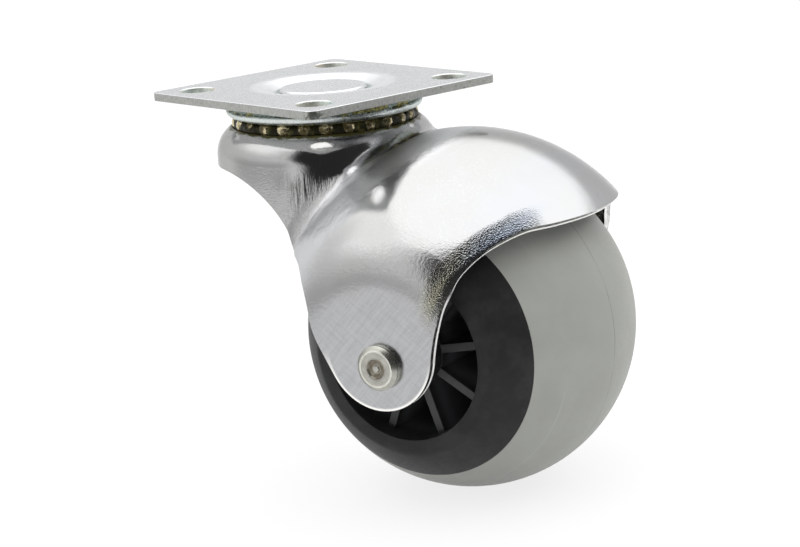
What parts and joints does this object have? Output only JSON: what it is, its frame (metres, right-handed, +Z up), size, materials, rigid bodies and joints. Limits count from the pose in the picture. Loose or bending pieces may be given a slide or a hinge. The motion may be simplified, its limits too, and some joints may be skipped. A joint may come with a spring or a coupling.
{
  "type": "swivel plate castor",
  "caption": "Plate castor with a ball-shaped wheel under a bright pressed hood, swivelling on two rows of balls.",
  "frame": {"origin": "centre of the top plate's mounting face, on the swivel axis", "axes": "+Z up out of the mounting face along the swivel axis, +X from the swivel axis towards the trailing wheel, +Y along the wheel's axle; the plate is stored turned by -15 degrees about Z, as in the picture"},
  "size_m": [0.0724, 0.0548, 0.0611],
  "materials": {
    "plate": "bright zinc plate, faintly bluish",
    "race": "zinc plate under a film of grease",
    "kingpin": "bright zinc plate",
    "fork": "bright plated pressed steel",
    "axle": "nickel, satin",
    "sleeve": "plain drawn steel",
    "ball": "polished steel in grease",
    "hub": "black moulded, satin",
    "tread": "grey moulded rubber, satin"
  },
  "bodies": {
    "base": {"top_plate": "plate", "upper_race": "race", "kingpin": "kingpin", "lower_race": "race"},
    "swivel_fork": {"fork": "fork", "axle_rivet": "axle", "axle_sleeve": "sleeve"},
    "wheel": {"hub": "hub", "tread": "tread"},
    "upper_ball_row": {"upper_ball_01": "ball", "upper_ball_02": "ball", "upper_ball_03": "ball", "upper_ball_04": "ball", "upper_ball_05": "ball", "upper_ball_06": "ball", "upper_ball_07": "ball", "upper_ball_08": "ball", "upper_ball_09": "ball", "upper_ball_10": "ball", "upper_ball_11": "ball", "upper_ball_12": "ball", "upper_ball_13": "ball", "upper_ball_14": "ball", "upper_ball_15": "ball", "upper_ball_16": "ball", "upper_ball_17": "ball", "upper_ball_18": "ball", "upper_ball_19": "ball", "upper_ball_20": "ball", "upper_ball_21": "ball", "upper_ball_22": "ball", "upper_ball_23": "ball", "upper_ball_24": "ball", "upper_ball_25": "ball", "upper_ball_26": "ball"},
    "lower_ball_row": {"lower_ball_01": "ball", "lower_ball_02": "ball", "lower_ball_03": "ball", "lower_ball_04": "ball", "lower_ball_05": "ball", "lower_ball_06": "ball", "lower_ball_07": "ball", "lower_ball_08": "ball", "lower_ball_09": "ball", "lower_ball_10": "ball", "lower_ball_11": "ball", "lower_ball_12": "ball", "lower_ball_13": "ball", "lower_ball_14": "ball", "lower_ball_15": "ball", "lower_ball_16": "ball", "lower_ball_17": "ball", "lower_ball_18": "ball", "lower_ball_19": "ball", "lower_ball_20": "ball"}
  },
  "joints": [
    {"name": "swivel", "type": "hinge", "parent": "base", "child": "swivel_fork", "pos_m": [0, 0, 0], "axis": [0, 0, 1], "continuous": true},
    {"name": "wheel_spin", "type": "hinge", "parent": "swivel_fork", "child": "wheel", "pos_m": [0.02445, 0, -0.03613], "axis": [0, 1, 0], "continuous": true},
    {"name": "upper_ball_orbit", "type": "hinge", "parent": "base", "child": "upper_ball_row", "pos_m": [0, 0, -0.005], "axis": [0, 0, 1], "continuous": true},
    {"name": "lower_ball_orbit", "type": "hinge", "parent": "base", "child": "lower_ball_row", "pos_m": [0, 0, -0.0081], "axis": [0, 0, 1], "continuous": true}
  ],
  "couplings": [
    {"joint": "upper_ball_orbit", "follows": "swivel", "ratio": 0.5},
    {"joint": "lower_ball_orbit", "follows": "swivel", "ratio": 0.5}
  ]
}
